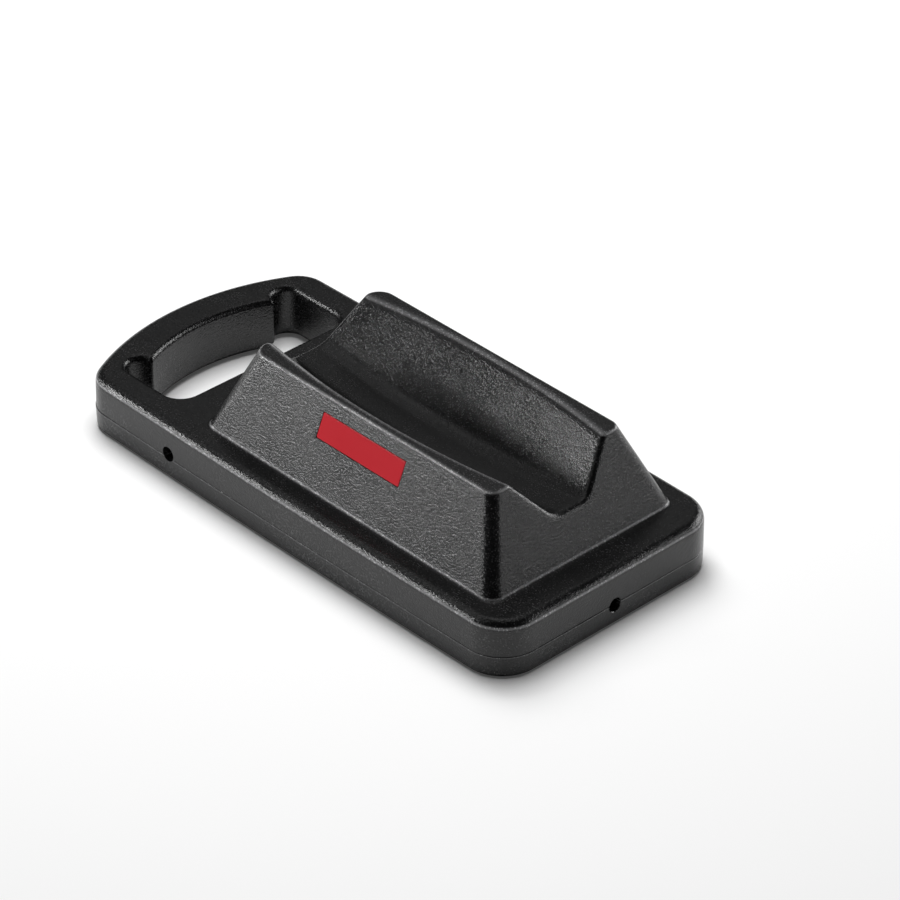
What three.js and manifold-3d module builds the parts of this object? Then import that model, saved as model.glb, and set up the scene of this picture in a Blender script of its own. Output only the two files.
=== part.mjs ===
// Riser block for the front end of a trainer.
// A hollow plastic block in two shells that meet at a parting line: a flat base with a carry handle cut
// through one end, and a raised saddle with a trough along it.
// Millimetres, +Z up. The origin is the middle of the underside, and the handle is at the -X end.

import * as THREE from "three";
import { ConvexGeometry } from "three/addons/geometries/ConvexGeometry.js";
import { mergeVertices } from "three/addons/utils/BufferGeometryUtils.js";
import Module from "manifold-3d";

const wasm = await Module();
wasm.setup();

// Base plate
const baseLength = 282.5; // from the outer edge of the handle to the front end
const baseWidth = 131.2; // at the corners
const sideBow = 1; // how far each long side swells out at its middle
const baseHeight = 27.9;
const partingHeight = 11;
const frontCornerRadius = 19;
const handleCornerRadius = 16;
const handleEndRadius = 122.9; // the outer edge of the handle, seen from above
const topEdgeRadius = 4.8;
const bottomEdgeRadius = 2.8;

// Walls, and the play between pieces
const wall = 3;
const seamGap = 0.3;
const lipClearance = 0.3;
const lipThickness = 2;
const lipHeight = 4;
const overrun = 2; // how far a cut runs past what it cuts
const rimOverrun = 0.1; // the same, for the rounded rims of the hand opening

// Hand opening
const gripWidth = 19.1; // at the middle of the handle
const gripArcRadius = 84; // the grip's inner edge, seen from above
const openingHalfWidth = 50.2;
const openingFront = 62; // from the outer edge of the handle to the opening's straight edge
const openingCornerRadius = 9.5;
const pocketRadius = 6.8; // the round pockets at both ends of the grip
const pocketFromEnd = 28; // from the outer edge of the handle to a pocket's middle
const openingTopRadius = 3;
const openingBottomRadius = 6;

// Saddle, with its foot on the base plate's top and its four sides sloping in
const saddleHeight = 66.7; // from the underside
const saddleFootFront = 17.6; // from the front end of the base to the saddle's foot
const saddleFootLength = 181.6;
const saddleFootWidth = 108.2;
const saddleTopFront = 35.6; // from the front end of the base to the saddle's top
const saddleTopLength = 148.9;
const saddleTopWidth = 75;
const saddleFootCornerRadius = 6.5;
const saddleFrontCornerRadius = 4.8; // at the top
const saddleBackCornerRadius = 8; // at the top
const saddleEdgeRadius = 1.8;

// Trough: a round-bottomed groove between two flanks. Groove and flanks follow arcs of their own
const troughFromFront = 111.6; // from the front end of the base to the lowest point
const grooveFloorHeight = 39.3; // lowest point, above the underside
const grooveArcRadius = 480; // the floor's curve along the trough
const grooveFloorHalfWidth = 5;
const grooveRootRadius = 10;
const grooveFlankAngle = THREE.MathUtils.degToRad(48);
const flankArcRadius = 336; // at the saddle's top
const flankHalfWidth = 34.3; // at the saddle's top, at the lowest point of the trough
const flankAngle = THREE.MathUtils.degToRad(51);

// Hollow posts of the lower shell, which carry the groove's floor
const postCount = 3;
const postSpacing = 50;
const postFootRadius = 13;
const postTopRadius = 8;
const postGap = 0.3;

// Round holes at the parting line
const holeRadius = 3.3;
const sideHoleHeight = 12.6;
const sideHoleFromFront = 209.4;
const endHoleHeight = 10.3;
const endHoleOffset = 0.8; // from the middle of the front end

// Label in the near side of the saddle
const labelWidth = 51;
const labelHeight = 11.7;
const labelThickness = 0.9;
const labelCornerRadius = 0.8;
const labelFromFront = 109.6; // from the front end of the base to the label's middle
const labelBelowTop = 13.5; // from the saddle's top edge down the slope, to the label's middle
const recessDepth = 1.2;
const recessMargin = 0.3;

// How finely round shapes are cut
const cornerSteps = 8;
const edgeSteps = 4;
const sideSteps = 8;
const endSteps = 16;
const wheelSteps = 360;
const postSteps = 32;
const holeSteps = 24;
const mergeShare = 1e-6; // of the base length: vertices nearer than this are one

// Places worked out from the sizes above
const frontX = baseLength / 2;
const handleX = -baseLength / 2;
const endCentre = new THREE.Vector2(handleX + handleEndRadius, 0);
const gripCentre = new THREE.Vector2(handleX + gripWidth + gripArcRadius, 0);
const upperFloor = partingHeight + seamGap / 2;
const lowerCeiling = partingHeight - seamGap / 2;
const troughX = frontX - troughFromFront;
const saddleRise = saddleHeight - baseHeight;

const footPlan = {
  back: frontX - saddleFootFront - saddleFootLength,
  front: frontX - saddleFootFront,
  side: saddleFootWidth / 2,
};
const topPlan = {
  back: frontX - saddleTopFront - saddleTopLength,
  front: frontX - saddleTopFront,
  side: saddleTopWidth / 2,
};

// Solids

// A closed geometry as a solid, with its shared vertices merged and the slivers at a lathe's axis left out.
function solidOf(geometry) {
  const bare = geometry.clone();
  bare.deleteAttribute("normal");
  bare.deleteAttribute("uv");
  const merged = mergeVertices(bare, baseLength * mergeShare);
  const corners = merged.index.array;
  const kept = [];
  for (let i = 0; i < corners.length; i += 3) {
    const [a, b, c] = corners.slice(i, i + 3);
    if (a !== b && b !== c && a !== c) kept.push(a, b, c);
  }
  const mesh = new wasm.Mesh({
    numProp: 3,
    vertProperties: merged.attributes.position.array,
    triVerts: new Uint32Array(kept),
  });
  return new wasm.Manifold(mesh);
}

function geometryOf(solid) {
  const mesh = solid.getMesh();
  const geometry = new THREE.BufferGeometry();
  geometry.setAttribute("position", new THREE.BufferAttribute(mesh.vertProperties, 3));
  geometry.setIndex(new THREE.BufferAttribute(mesh.triVerts, 1));
  geometry.computeVertexNormals();
  return geometry;
}

// A straight prism on an outline, from one height to another.
function prism(outline, bottom, top) {
  const geometry = new THREE.ExtrudeGeometry(new THREE.Shape(outline), {
    depth: top - bottom,
    bevelEnabled: false,
  });
  return geometry.translate(0, 0, bottom);
}

// A prism whose edges at both ends are rounded off by one radius, or flared out by it where the radius is
// negative. A flared one is drawn on the outline of its mouths.
function roundedPrism(outline, bottom, top, radius) {
  const reach = Math.abs(radius);
  const geometry = new THREE.ExtrudeGeometry(new THREE.Shape(outline), {
    depth: top - bottom - 2 * reach,
    bevelThickness: reach,
    bevelSize: radius,
    bevelOffset: radius > 0 ? -radius : 0,
    bevelSegments: edgeSteps,
  });
  return geometry.translate(0, 0, bottom + reach);
}

// A box that holds everything of the block between two heights.
function layer(bottom, top) {
  const geometry = new THREE.BoxGeometry(2 * baseLength, 2 * baseWidth, top - bottom);
  return solidOf(geometry.translate(0, 0, (bottom + top) / 2));
}

// Outlines, seen from above

// Points of an arc, without its last one.
function arc(centre, radius, from, to, steps) {
  return Array.from({ length: steps }, (_, i) => {
    const angle = from + ((to - from) * i) / steps;
    return new THREE.Vector2(
      centre.x + radius * Math.cos(angle),
      centre.y + radius * Math.sin(angle),
    );
  });
}

// The direction from one point to another, from 0 to a full turn.
function bearing(from, to) {
  return to.clone().sub(from).angle();
}

// Where two circles meet, on the right of the way from the first centre to the second, or on its left.
function circlesMeet(centreA, radiusA, centreB, radiusB, onRight) {
  const gap = centreA.distanceTo(centreB);
  const along = (gap * gap + radiusA * radiusA - radiusB * radiusB) / (2 * gap);
  const across = Math.sqrt(radiusA * radiusA - along * along);
  const way = centreB.clone().sub(centreA).divideScalar(gap);
  const side = new THREE.Vector2(way.y, -way.x).multiplyScalar(onRight ? across : -across);
  return centreA.clone().addScaledVector(way, along).add(side);
}

// A whole outline from its near half, which runs from the -X end round to the +X end.
function mirrored(half) {
  const far = half
    .slice(1)
    .reverse()
    .map((point) => new THREE.Vector2(point.x, -point.y));
  return [...half, ...far];
}

// The base: a round end at the handle, two slightly bowed sides and a straight front, all in tangent arcs.
function baseOutline(inset) {
  const halfChord = (baseLength - frontCornerRadius - handleCornerRadius) / 2;
  const bowRadius = (halfChord * halfChord + sideBow * sideBow) / (2 * sideBow);
  const middleX = (frontX - frontCornerRadius + handleX + handleCornerRadius) / 2;
  const bowCentre = new THREE.Vector2(middleX, bowRadius - sideBow - baseWidth / 2);
  const handleCorner = circlesMeet(
    bowCentre,
    bowRadius - handleCornerRadius,
    endCentre,
    handleEndRadius - handleCornerRadius,
    true,
  );
  const cornerX = frontX - frontCornerRadius;
  const drop = Math.hypot(bowRadius - frontCornerRadius, cornerX - middleX);
  const reach = bowRadius - frontCornerRadius;
  const frontCorner = new THREE.Vector2(
    cornerX,
    bowCentre.y - Math.sqrt(2 * reach * reach - drop * drop),
  );
  const endTurn = bearing(endCentre, handleCorner);
  const backTurn = bearing(bowCentre, handleCorner);
  const frontTurn = bearing(bowCentre, frontCorner);
  return mirrored([
    ...arc(endCentre, handleEndRadius - inset, Math.PI, endTurn, endSteps),
    ...arc(handleCorner, handleCornerRadius - inset, endTurn, backTurn, cornerSteps),
    ...arc(bowCentre, bowRadius - inset, backTurn, frontTurn, sideSteps),
    ...arc(frontCorner, frontCornerRadius - inset, frontTurn, 2 * Math.PI, cornerSteps),
    new THREE.Vector2(frontX - inset, frontCorner.y),
  ]);
}

// The hand opening, grown by a margin: the grip's inner edge, a round pocket at each end of it, and a
// straight edge towards the saddle.
function openingOutline(grow) {
  const gripRadius = gripArcRadius + grow;
  const pocket = new THREE.Vector2(handleX + pocketFromEnd, pocketRadius - openingHalfWidth);
  const kink = circlesMeet(gripCentre, gripRadius, pocket, pocketRadius + grow, true);
  const corner = new THREE.Vector2(
    handleX + openingFront - openingCornerRadius,
    openingCornerRadius - openingHalfWidth,
  );
  const down = 1.5 * Math.PI;
  return mirrored([
    ...arc(gripCentre, gripRadius, Math.PI, bearing(gripCentre, kink), endSteps),
    ...arc(pocket, pocketRadius + grow, bearing(pocket, kink), down, cornerSteps),
    ...arc(corner, openingCornerRadius + grow, down, 2 * Math.PI, cornerSteps),
    new THREE.Vector2(corner.x + openingCornerRadius + grow, corner.y),
  ]);
}

// A rectangle with round corners, with one radius at its back and one at its front.
function roundedRectangle(plan, backRadius, frontRadius) {
  const front = new THREE.Vector2(plan.front - frontRadius, frontRadius - plan.side);
  const back = new THREE.Vector2(plan.back + backRadius, backRadius - plan.side);
  const down = 1.5 * Math.PI;
  return mirrored([
    new THREE.Vector2(plan.back, 0),
    ...arc(back, backRadius, Math.PI, down, cornerSteps),
    ...arc(front, frontRadius, down, 2 * Math.PI, cornerSteps),
    new THREE.Vector2(plan.front, front.y),
  ]);
}

// Base plate, saddle and what cuts them

// The saddle's outline at a height, drawn in by an inset measured square to its sloping sides.
function saddleOutline(height, inset) {
  const share = (height - baseHeight) / saddleRise;
  const slant = (key) => Math.hypot(1, (topPlan[key] - footPlan[key]) / saddleRise);
  const at = (key) => THREE.MathUtils.lerp(footPlan[key], topPlan[key], share);
  const plan = {
    back: at("back") + inset * slant("back"),
    front: at("front") - inset * slant("front"),
    side: at("side") - inset * slant("side"),
  };
  const radiusTo = (top) => THREE.MathUtils.lerp(saddleFootCornerRadius, top, share) - inset;
  return roundedRectangle(
    plan,
    radiusTo(saddleBackCornerRadius),
    radiusTo(saddleFrontCornerRadius),
  );
}

// The saddle from a height inside the base plate to its top, with a round edge round the top.
function saddle(inset, bottom) {
  const top = saddleHeight - inset;
  const levels = [[bottom, 0]];
  for (let i = 0; i <= edgeSteps; i++) {
    const turn = (Math.PI / 2) * (i / edgeSteps);
    levels.push([
      top - saddleEdgeRadius * (1 - Math.sin(turn)),
      saddleEdgeRadius * (1 - Math.cos(turn)),
    ]);
  }
  const points = levels.flatMap(([height, rounding]) =>
    saddleOutline(height, inset + rounding).map(
      (point) => new THREE.Vector3(point.x, point.y, height),
    ),
  );
  return solidOf(new ConvexGeometry(points));
}

// A round cutter about an axis along Y, from its half profile: radius and half width, outer edge first.
function wheel(profile, axisHeight) {
  const near = profile.map(([radius, half]) => new THREE.Vector2(radius, -half));
  const far = profile.map(([radius, half]) => new THREE.Vector2(radius, half)).reverse();
  const innerHalf = profile.at(-1)[1];
  const points = [
    new THREE.Vector2(0, -innerHalf),
    ...near.reverse(),
    ...far.reverse(),
    new THREE.Vector2(0, innerHalf),
  ];
  const geometry = new THREE.LatheGeometry(points, wheelSteps);
  return solidOf(geometry.translate(troughX, 0, axisHeight));
}

// The groove: flat floor, round roots and straight flanks.
function grooveWheel(grow) {
  const rootCentre = grooveArcRadius - grooveRootRadius;
  const rootRadius = grooveRootRadius + grow;
  const profile = [];
  for (let i = 0; i <= edgeSteps; i++) {
    const turn = (grooveFlankAngle * i) / edgeSteps;
    profile.push([
      rootCentre + rootRadius * Math.cos(turn),
      grooveFloorHalfWidth + rootRadius * Math.sin(turn),
    ]);
  }
  const [rootTop, rootHalf] = profile.at(-1);
  const flankTop = grooveArcRadius - (saddleHeight - grooveFloorHeight) - overrun;
  profile.push([flankTop, rootHalf + (rootTop - flankTop) / Math.tan(grooveFlankAngle)]);
  return wheel(profile, grooveFloorHeight + grooveArcRadius);
}

// The two flanks above the groove, which would meet in a sharp V below it.
function flankWheel(grow) {
  const topHalf = flankHalfWidth + grow / Math.sin(flankAngle);
  const depth = topHalf * Math.tan(flankAngle);
  const above = overrun;
  const profile = [
    [flankArcRadius + depth, 0],
    [flankArcRadius - above, topHalf + above / Math.tan(flankAngle)],
  ];
  return wheel(profile, saddleHeight + flankArcRadius);
}

// The trough, grown by a margin.
function trough(grow) {
  return grooveWheel(grow).intersect(flankWheel(grow));
}

// The hand opening through the upper shell, with its rim rounded over.
function upperOpening() {
  const mouth = openingOutline(openingTopRadius);
  return solidOf(roundedPrism(mouth, -baseHeight, baseHeight + rimOverrun, -openingTopRadius));
}

// The hand opening through the lower shell.
function lowerOpening() {
  const mouth = openingOutline(openingBottomRadius);
  return solidOf(roundedPrism(mouth, -rimOverrun, 2 * baseHeight, -openingBottomRadius));
}

// The round holes at the parting line, through the near long side and through the front end.
function holes() {
  const length = 2 * (wall + sideBow + lipClearance + lipThickness + overrun);
  const side = new THREE.CylinderGeometry(holeRadius, holeRadius, length, holeSteps);
  side.translate(frontX - sideHoleFromFront, -baseWidth / 2, sideHoleHeight);
  const end = new THREE.CylinderGeometry(holeRadius, holeRadius, length, holeSteps);
  end.rotateZ(Math.PI / 2).translate(frontX, endHoleOffset, endHoleHeight);
  return solidOf(side).add(solidOf(end));
}

// Label and its recess

// Turns what lies flat at the origin into the near side of the saddle: X stays along the block, Y runs up
// the slope, and Z points out of the side.
function onNearSide(object) {
  const lean = Math.atan2(footPlan.side - topPlan.side, saddleRise);
  object.position.set(
    frontX - labelFromFront,
    -topPlan.side - labelBelowTop * Math.sin(lean),
    saddleHeight - labelBelowTop * Math.cos(lean),
  );
  object.rotation.set(Math.PI / 2 - lean, 0, 0);
  return object;
}

// A flat plate of the label's shape, grown by a margin, between two depths below the face.
function labelPlate(grow, bottom, top) {
  const plan = {
    back: -labelWidth / 2 - grow,
    front: labelWidth / 2 + grow,
    side: labelHeight / 2 + grow,
  };
  const radius = labelCornerRadius + grow;
  return prism(roundedRectangle(plan, radius, radius), bottom, top);
}

function labelRecess() {
  const place = onNearSide(new THREE.Object3D());
  place.updateMatrix();
  return solidOf(labelPlate(recessMargin, -recessDepth, overrun).applyMatrix4(place.matrix));
}

// Shells

const throughHoles = holes();

// What is hollow above the parting line: the base plate's inside and the saddle's, less the walls that the
// trough and the hand opening need.
function upperCavity() {
  const plateTop = baseHeight - wall;
  const plate = roundedPrism(
    baseOutline(wall),
    partingHeight - baseHeight,
    plateTop,
    topEdgeRadius - wall,
  );
  const inside = saddle(wall, partingHeight);
  const tunnel = prism(openingOutline(wall), partingHeight - baseHeight - overrun, baseHeight);
  return solidOf(plate).add(inside).subtract(trough(wall)).subtract(solidOf(tunnel));
}

function upperShell() {
  const plate = roundedPrism(baseOutline(0), -baseHeight, baseHeight, topEdgeRadius);
  return solidOf(plate)
    .add(saddle(0, partingHeight))
    .subtract(trough(0))
    .subtract(upperCavity())
    .subtract(upperOpening())
    .subtract(throughHoles)
    .subtract(labelRecess())
    .intersect(layer(upperFloor, saddleHeight + overrun));
}

// A cone along Z, from one height to another.
function cone(footRadius, topRadius, bottom, top) {
  const geometry = new THREE.CylinderGeometry(topRadius, footRadius, top - bottom, postSteps);
  return solidOf(geometry.rotateX(Math.PI / 2).translate(0, 0, (bottom + top) / 2));
}

// The height of the groove's underside over a post, at the post's lower rim.
function postHeight(offset) {
  const nearest = Math.max(0, Math.abs(offset) - postTopRadius);
  const floorRise = grooveArcRadius - Math.sqrt(grooveArcRadius ** 2 - nearest ** 2);
  return grooveFloorHeight + floorRise - wall - postGap;
}

// One post and the well inside it, open at the underside.
function post(offset) {
  const top = postHeight(offset);
  const taper = (postFootRadius - postTopRadius) / top;
  const footBore = postFootRadius - wall;
  const body = cone(postFootRadius, postTopRadius, 0, top);
  const well = cone(
    footBore + taper * overrun,
    footBore - taper * (top - wall),
    -overrun,
    top - wall,
  );
  return { body: body.translate(troughX + offset, 0, 0), well: well.translate(troughX + offset, 0, 0) };
}

// A ring that follows the outer wall, between two insets.
function ring(outerInset, innerInset, bottom, top) {
  const outer = solidOf(prism(baseOutline(outerInset), bottom, top));
  return outer.subtract(solidOf(prism(baseOutline(innerInset), bottom - overrun, top + overrun)));
}

function lowerShell() {
  const tray = roundedPrism(baseOutline(0), 0, 2 * baseHeight, bottomEdgeRadius);
  const inside = prism(baseOutline(wall), wall, baseHeight);
  const tunnel = prism(openingOutline(wall), 0, baseHeight + overrun);
  let shell = solidOf(tray).subtract(solidOf(inside).subtract(solidOf(tunnel)));
  shell = shell.intersect(layer(-overrun, lowerCeiling));
  const lipOuter = wall + lipClearance;
  const lipInner = lipOuter + lipThickness;
  shell = shell
    .add(ring(lipOuter, lipInner, wall / 2, partingHeight + lipHeight))
    .add(ring(wall / 2, lipInner - lipThickness / 2, wall / 2, partingHeight - lipHeight));
  for (let i = 0; i < postCount; i++) {
    const { body, well } = post((i - (postCount - 1) / 2) * postSpacing);
    shell = shell.add(body).subtract(well);
  }
  return shell.subtract(lowerOpening()).subtract(throughHoles);
}

// Materials

function blackPlastic() {
  return new THREE.MeshStandardMaterial({ color: 0x232425, roughness: 0.55, metalness: 0 });
}

function redLabel() {
  return new THREE.MeshStandardMaterial({ color: 0xc52f38, roughness: 0.4, metalness: 0 });
}

// The block

function named(name, geometry, material) {
  const mesh = new THREE.Mesh(geometry, material);
  mesh.name = name;
  return mesh;
}

const block = new THREE.Group();
block.add(named("upper_shell", geometryOf(upperShell()), blackPlastic()));
block.add(named("lower_shell", geometryOf(lowerShell()), blackPlastic()));
const label = named("side_label", labelPlate(0, -labelThickness, 0), redLabel());
block.add(onNearSide(label));

export default block;
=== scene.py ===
import functools
import math

import bmesh
import bpy
import numpy as np
from mathutils import Matrix, Vector


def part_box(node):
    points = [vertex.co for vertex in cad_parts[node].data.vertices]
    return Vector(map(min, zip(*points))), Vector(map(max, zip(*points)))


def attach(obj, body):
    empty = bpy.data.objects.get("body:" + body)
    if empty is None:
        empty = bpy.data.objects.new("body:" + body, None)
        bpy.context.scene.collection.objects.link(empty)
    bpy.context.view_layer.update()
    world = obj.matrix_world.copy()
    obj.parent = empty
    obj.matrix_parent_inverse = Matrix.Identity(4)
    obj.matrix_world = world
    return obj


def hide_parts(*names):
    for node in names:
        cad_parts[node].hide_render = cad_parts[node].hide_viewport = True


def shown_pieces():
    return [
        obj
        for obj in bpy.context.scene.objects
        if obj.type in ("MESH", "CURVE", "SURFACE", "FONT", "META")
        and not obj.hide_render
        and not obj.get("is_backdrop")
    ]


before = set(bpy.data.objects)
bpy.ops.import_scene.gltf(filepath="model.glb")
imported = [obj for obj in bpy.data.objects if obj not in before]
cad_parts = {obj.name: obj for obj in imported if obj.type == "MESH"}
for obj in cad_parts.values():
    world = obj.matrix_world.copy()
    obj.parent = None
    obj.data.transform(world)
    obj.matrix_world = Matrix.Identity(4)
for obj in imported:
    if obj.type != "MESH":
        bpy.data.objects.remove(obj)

bl_info = {
    "name": "Riser block",
    "version": (1, 0, 0),
    "blender": (4, 5, 0),
    "location": "3D View > Sidebar > Riser block",
    "description": "Dresses the packed model of a riser block and lights it",
    "category": "Object",
}

MM = 0.001
SHARP_EDGE = math.radians(35)

# Reach of the block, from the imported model
SHELL_LOW, SHELL_HIGH = ([edge / MM for edge in corner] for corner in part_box("upper_shell"))
HANDLE_X, FRONT_X = SHELL_LOW[0], SHELL_HIGH[0]
SADDLE_HEIGHT = SHELL_HIGH[2]

# Base plate, in millimetres
BASE_WIDTH = 131.2
SIDE_BOW = 1
BASE_HEIGHT = 27.9
PARTING_HEIGHT = 11
FRONT_CORNER_RADIUS = 19
HANDLE_CORNER_RADIUS = 16
HANDLE_END_RADIUS = 122.9
TOP_EDGE_RADIUS = 4.8
BOTTOM_EDGE_RADIUS = 2.8
WALL = 3
WALL_DRAFT = 0.25
SEAM_PLAY = 0.02

# Hand opening
GRIP_WIDTH = 19.1
GRIP_ARC_RADIUS = 84
OPENING_HALF_WIDTH = 50.2
OPENING_FRONT = 62
OPENING_CORNER_RADIUS = 9.5
POCKET_RADIUS = 6.8
POCKET_FROM_END = 28
OPENING_TOP_RADIUS = 3
OPENING_BOTTOM_RADIUS = 6
OPENING_WALL = OPENING_BOTTOM_RADIUS + 1

# Saddle
FOOT_PLAN = (FRONT_X - 17.6 - 181.6, FRONT_X - 17.6, 108.2 / 2)
TOP_PLAN = (FRONT_X - 35.6 - 148.9, FRONT_X - 35.6, 75 / 2)
SADDLE_RISE = SADDLE_HEIGHT - BASE_HEIGHT
FOOT_CORNER_RADIUS = 6.5
TOP_FRONT_CORNER_RADIUS = 4.8
TOP_BACK_CORNER_RADIUS = 8
SADDLE_EDGE_RADIUS = 1.8
SADDLE_FOOT_BLEND = 1.3
SADDLE_SLANT = 1.09
LEAN = math.atan2(FOOT_PLAN[2] - TOP_PLAN[2], SADDLE_RISE)

# Trough
TROUGH_X = FRONT_X - 111.6
GROOVE_FLOOR_HEIGHT = 39.3
GROOVE_ARC_RADIUS = 480
GROOVE_FLOOR_HALF_WIDTH = 5
GROOVE_ROOT_RADIUS = 10
GROOVE_FLANK_ANGLE = math.radians(48)
FLANK_ARC_RADIUS = 336
FLANK_HALF_WIDTH = 34.3
FLANK_ANGLE = math.radians(51)
GROOVE_TO_FLANK_BLEND = 1.5
TROUGH_EDGE_BLEND = 2.6

# Posts under the trough, and the lip that locates the shells
POST_COUNT = 3
POST_SPACING = 50
POST_FOOT_RADIUS = 13
POST_TOP_RADIUS = 8
POST_HEIGHT = GROOVE_FLOOR_HEIGHT - WALL - 0.3
POST_TAPER = (POST_FOOT_RADIUS - POST_TOP_RADIUS) / POST_HEIGHT
WELL_MOUTH_RADIUS = 1
LIP_INSET = 3.3
LIP_THICKNESS = 2
LIP_TOP = 15
LIP_EDGE_RADIUS = 0.5

# Round holes at the parting line: each one's middle, the way it faces, and from where to where it widens
HOLE_RADIUS = 3.3
HOLE_CHAMFER = 0.3
HOLES = (
    ((FRONT_X - 209.4, -BASE_WIDTH / 2, 12.6), (0, -1, 0), (-SIDE_BOW - HOLE_CHAMFER, -0.8 * SIDE_BOW)),
    ((FRONT_X, 0.8, 10.3), (1, 0, 0), (-HOLE_CHAMFER, 0)),
)

# Parting line: shares of its depth all round and in its waves, places where it is deeper (x, y, width,
# share), and the place where the lower shell stands proud
SEAM_PLAIN = 0.525
SEAM_WAVE = 0.0875
SEAM_DEEPER = ((HANDLE_X + 12, -48, 22, 1.1), (FRONT_X, -20, 34, 0.6))
PROUD_CORNER = (HANDLE_X + 8, -52, 26)

# Its groove, in shares of its depth: the upper flank, inwards and up, and the lower flank's drop. The
# last is the share of the proud step that the bevel takes.
SEAM_FLANK = ((1, 0), (0.25, 0.4), (0, 0.9))
SEAM_DROP = 0.4
SEAM_PROUD = 0.7

# Label
LABEL_WIDTH = 51
LABEL_HEIGHT = 11.7
LABEL_CORNER_RADIUS = 0.8
LABEL_X = FRONT_X - 109.6
LABEL_UP_SLOPE = 28.7
LABEL_EDGE_RADIUS = 0.22
LABEL_SUNK = 0.05
LABEL_GLUE = 0.02
RECESS_DEPTH = 1.2
RECESS_MARGIN = 0.3
RECESS_WALL = 0.12

# Heights above the base plate of the rings at the saddle's foot, outside and inside, and steps of others
FOOT_RINGS = (-6, -4.6, -3.4, -2.4, -1.6, -0.9, -0.3, 0.3, 0.9, 1.6, 2.4)
INNER_FOOT_RINGS = (-5, -3.4, -2, -0.8)
RING_STEP = 1.0
TOP_RING_STEP = 0.35

# Painted highlight lines along the parting line, the plate's top edge and the saddle's foot and top edge:
# height, width either side and amount of each, and the block in the middle that each leaves plain, by its
# middle along X and its half sizes
ROUND_OPENING = (0, 124, 56)
ROUND_POSTS = (TROUGH_X, POST_SPACING + POST_FOOT_RADIUS + 1, POST_FOOT_RADIUS + 1)
HIGHLIT_EDGES = (
    (PARTING_HEIGHT - 0.5, 0.5, 0.25, ROUND_OPENING),
    (BASE_HEIGHT - TOP_EDGE_RADIUS + 1.8, 0.9, 1, ROUND_OPENING),
    (BASE_HEIGHT + 0.7, 0.6, 0.9, ROUND_POSTS),
    (SADDLE_HEIGHT - 0.7, 0.8, 1, ROUND_POSTS),
)

# Grain and wear, in cells in a metre
PEBBLES = 1300
LUMPS = 1100
GRIT = 2900
PATCHES = 36
SCRATCHES = 120
DUST = 1500

# How the scratches lie, the bounds of the masks, and how strong each part of the grain, wear, painted glints
# and painted highlights is
SCRATCH_STRETCH = (1, 7, 4)
SCRATCH_TURN = (0.2, 0.3, 0.7)
LUMP_SHARE = 1.4
# The dots are painted glints, lighter colour on the grain's tops
GLINT_DOT_REACH = (0.15, 0.55, 1, 0)
GLINT_DOT_TONES = (0.3, 1)
DENSE_PATCH = (0.42, 0.6, 0.3, 1)
UNEVEN_PATCH = (0.3, 0.7)
SCUFF_RANGE = (0.62, 0.78)
DUST_RANGE = (0.66, 0.8)
# Painted highlight lines: how much glinting dots and how much even lighter colour they take
HIGHLIGHT_GLINTS = 1.2
HIGHLIGHT_EVEN = 0.45
DUST_SHARE = 0.04
SMOOTHER = 0.04
ROUGHER = 0.05
PLASTIC_IOR = 1.48
SCUFF_ROUGHNESS = 0.15
HIGHLIT_ROUGHNESS = -0.06
LABEL_ROUGHNESS = 0.14
LABEL_GRAIN = 0.004
LABEL_SCUFF_ROUGHNESS = 0.2

# View, in degrees and millimetres, and stage, in metres
VIEW_AZIMUTH = 46.253
VIEW_ELEVATION = 34.238
VIEW_ROLL = 0.568
VIEW_DISTANCE = 1756.77
VIEW_RIGHT = 34.716
VIEW_UP = 11.843
VIEW_ALONG = -8.763
SENSOR = 36
LENS = 159.297
LAMP_DISTANCE = 1.5
FLOOR_REACH = 3
FLOOR_ROUGHNESS = 0.9

# Each softbox: azimuth from the camera's and elevation in degrees, width and height in metres, brightness
BLOCK_LAMPS = (
    ("Left softbox", -94, 12.5, 0.95, 0.11, 40),
    ("Upper left softbox", -96, 52, 1.2, 0.4, 1.2),
    ("Right softbox", 84, 13, 1.0, 0.14, 7),
    ("Far right softbox", 120, 15, 0.85, 0.37, 10),
    ("Far softbox", 180, 35, 1.4, 0.5, 0.4),
    ("Overhead softbox", 180, 74, 1.0, 0.9, 0.9),
)
FLOOR_LAMPS = (
    ("High floor softbox", 182, 80, 1.0, 1.0, 7),
    ("Low floor softbox", 200, 55, 0.8, 0.7, 6),
)


# Plain shapes


def lerp(start, end, share):
    return start + (end - start) * share


def arc(centre, radius, start, end, count):
    """Points of an arc, in degrees, without its last one."""
    turn = np.radians(np.linspace(start, end, count, endpoint=False))
    return np.column_stack((centre[0] + radius * np.cos(turn), centre[1] + radius * np.sin(turn)))


def run(start, end, count):
    """Points of a straight stretch, without its last one."""
    share = np.linspace(0, 1, count, endpoint=False)[:, None]
    return lerp(np.array(start, float), np.array(end, float), share)


def joined(*parts):
    """One run of points from several."""
    return np.vstack(parts)


def bearing(start, end):
    return math.degrees(math.atan2(end[1] - start[1], end[0] - start[0])) % 360


def circles_meet(centre_a, radius_a, centre_b, radius_b):
    """Where two circles meet, on the right of the way from one centre to the other."""
    way = np.subtract(centre_b, centre_a)
    gap = math.hypot(*way)
    along = (gap**2 + radius_a**2 - radius_b**2) / (2 * gap)
    across = math.sqrt(radius_a**2 - along**2)
    way = way / gap
    return np.array(centre_a) + way * along + np.array((way[1], -way[0])) * across


def mirrored(half):
    """A whole outline from its near half, which runs from the -X end to the +X end."""
    return joined(half, (half * (1, -1))[:0:-1])


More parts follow.
